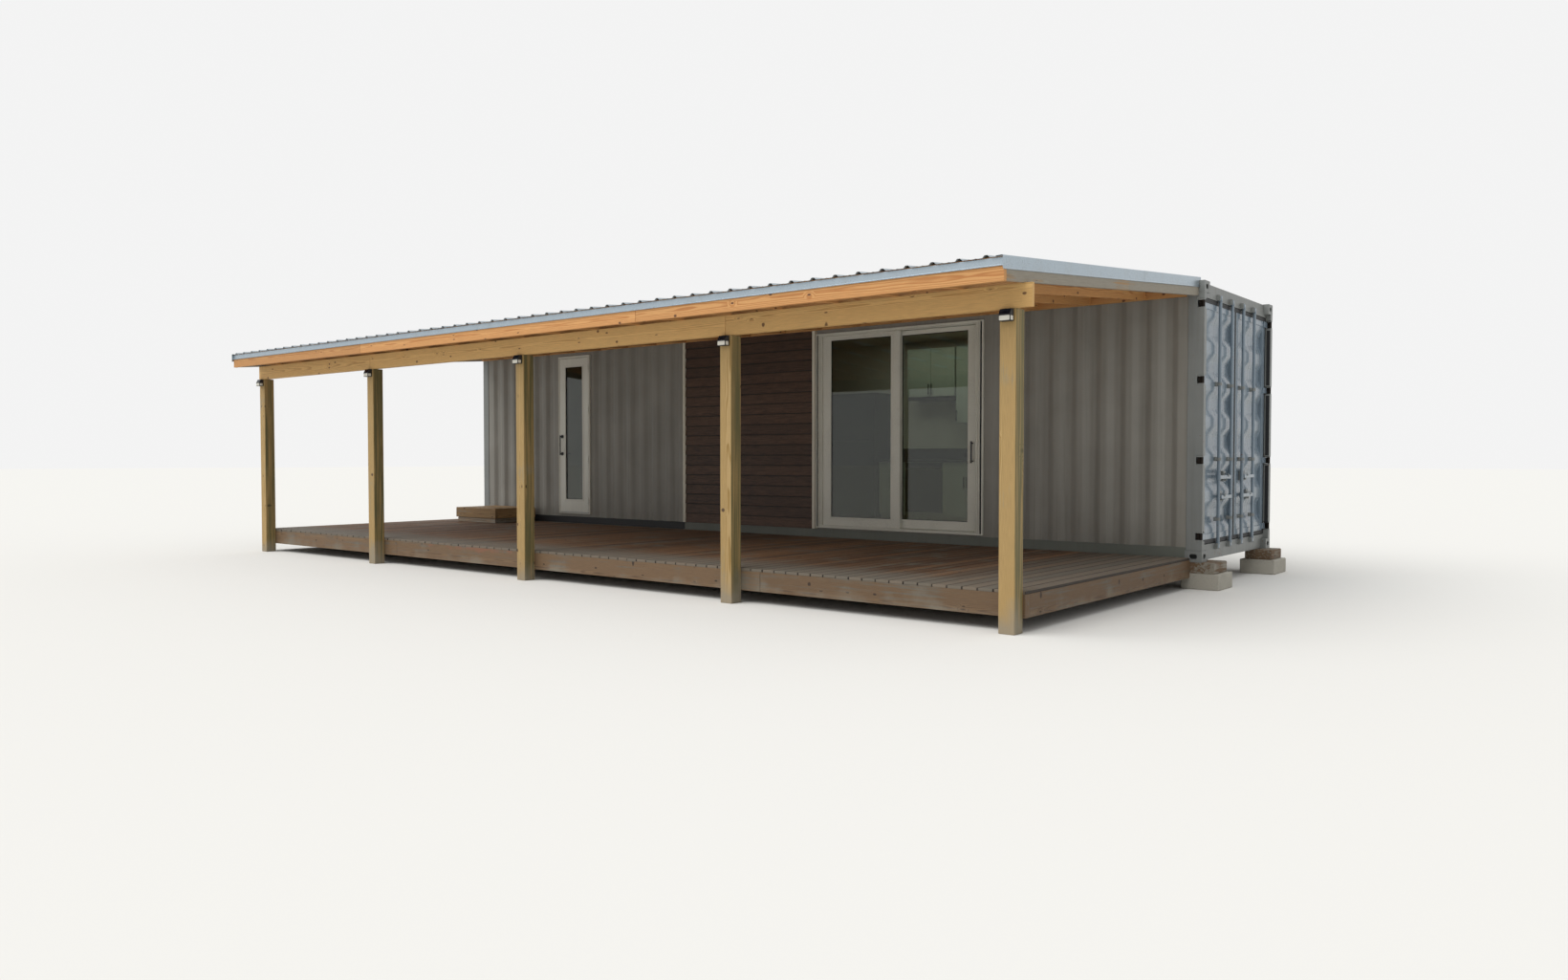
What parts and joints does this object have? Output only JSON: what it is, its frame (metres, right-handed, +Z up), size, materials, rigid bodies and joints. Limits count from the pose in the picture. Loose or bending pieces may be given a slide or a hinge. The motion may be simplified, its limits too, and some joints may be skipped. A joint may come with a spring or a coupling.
{
  "type": "shipping container cabin",
  "caption": "High-cube shipping container cabin with glazed doors, lap siding panel, working cargo doors and a lean-to porch over a raised timber deck.",
  "frame": {"origin": "centre of the footprint's bounding box, on the ground", "axes": "+X along the cabin towards the cargo doors, +Y from the porch to the back, +Z up"},
  "size_m": [12.538, 6.7218, 3.2268],
  "materials": {
    "concrete": "cast concrete, matt",
    "old_timber": "weathered sawn timber",
    "frame_paint": "grey container paint",
    "wall_paint": "grey container paint",
    "door_paint": "grey container paint",
    "underside_paint": "bituminous undercoat",
    "plywood": "sealed plywood",
    "brown_siding": "factory-finished lap siding",
    "white_trim": "painted trim",
    "lining": "painted board",
    "white_vinyl": "white vinyl",
    "glass": "clear insulated glass",
    "treated_pine": "pressure-treated pine",
    "new_pine": "fresh-sawn pine",
    "grey_pine": "weathered pine",
    "deck_pine": "weathered deck boards",
    "rim_pine": "pressure-treated pine",
    "roofing_steel": "zinc-aluminium coated steel",
    "black_plastic": "black plastic",
    "cabinet_paint": "painted kitchen fronts",
    "black_metal": "black powder coat"
  },
  "bodies": {
    "cabin": {"concrete_pads": "concrete", "timber_blocks": "old_timber", "corner_castings": "frame_paint", "corner_posts": "frame_paint", "side_rails": "frame_paint", "end_rails": "frame_paint", "cross_members": "underside_paint", "cabin_floor": "plywood", "container_roof": "wall_paint", "rear_wall": "wall_paint", "end_wall": "wall_paint", "front_wall": "wall_paint", "siding_panel": "brown_siding", "siding_trim": "white_trim", "wall_lining": "lining", "ceiling_lining": "lining", "entry_frame": "white_vinyl", "slider_frame": "white_vinyl", "slider_fixed_sash": "white_vinyl", "slider_fixed_glass": "glass", "door_post_fittings": "frame_paint", "porch_posts": "treated_pine", "porch_beam": "treated_pine", "roof_ledger": "new_pine", "rafters": "new_pine", "purlins": "new_pine", "roof_sheets": "roofing_steel", "roof_trim": "roofing_steel", "eave_fascia": "new_pine", "rake_boards": "grey_pine", "deck_boards": "deck_pine", "deck_frame": "rim_pine", "post_lights": "black_plastic", "porch_step": "new_pine", "kitchen_units": "cabinet_paint"},
    "entry_leaf": {"entry_door": "white_vinyl", "entry_glass": "glass", "entry_handle": "black_metal"},
    "slider_leaf": {"sliding_sash": "white_vinyl", "sliding_glass": "glass", "sliding_handle": "black_metal"},
    "cargo_leaf_front": {"cargo_door_front": "door_paint", "lock_bars_front": "door_paint"},
    "cargo_leaf_rear": {"cargo_door_rear": "door_paint", "lock_bars_rear": "door_paint"}
  },
  "joints": [
    {"name": "entry_swing", "type": "hinge", "parent": "cabin", "child": "entry_leaf", "pos_m": [-3.367, 0.84691, 1.648], "axis": [0, 0, 1], "range_deg": [0, 110]},
    {"name": "slider_slide", "type": "slide", "parent": "cabin", "child": "slider_leaf", "axis": [-1, 0, 0], "range_m": [0, 0.98]},
    {"name": "cargo_front_swing", "type": "hinge", "parent": "cabin", "child": "cargo_leaf_front", "pos_m": [6.076, 0.88591, 1.73], "axis": [0, 0, -1], "range_deg": [0, 180]},
    {"name": "cargo_rear_swing", "type": "hinge", "parent": "cabin", "child": "cargo_leaf_rear", "pos_m": [6.076, 3.28391, 1.73], "axis": [0, 0, 1], "range_deg": [0, 260]}
  ]
}
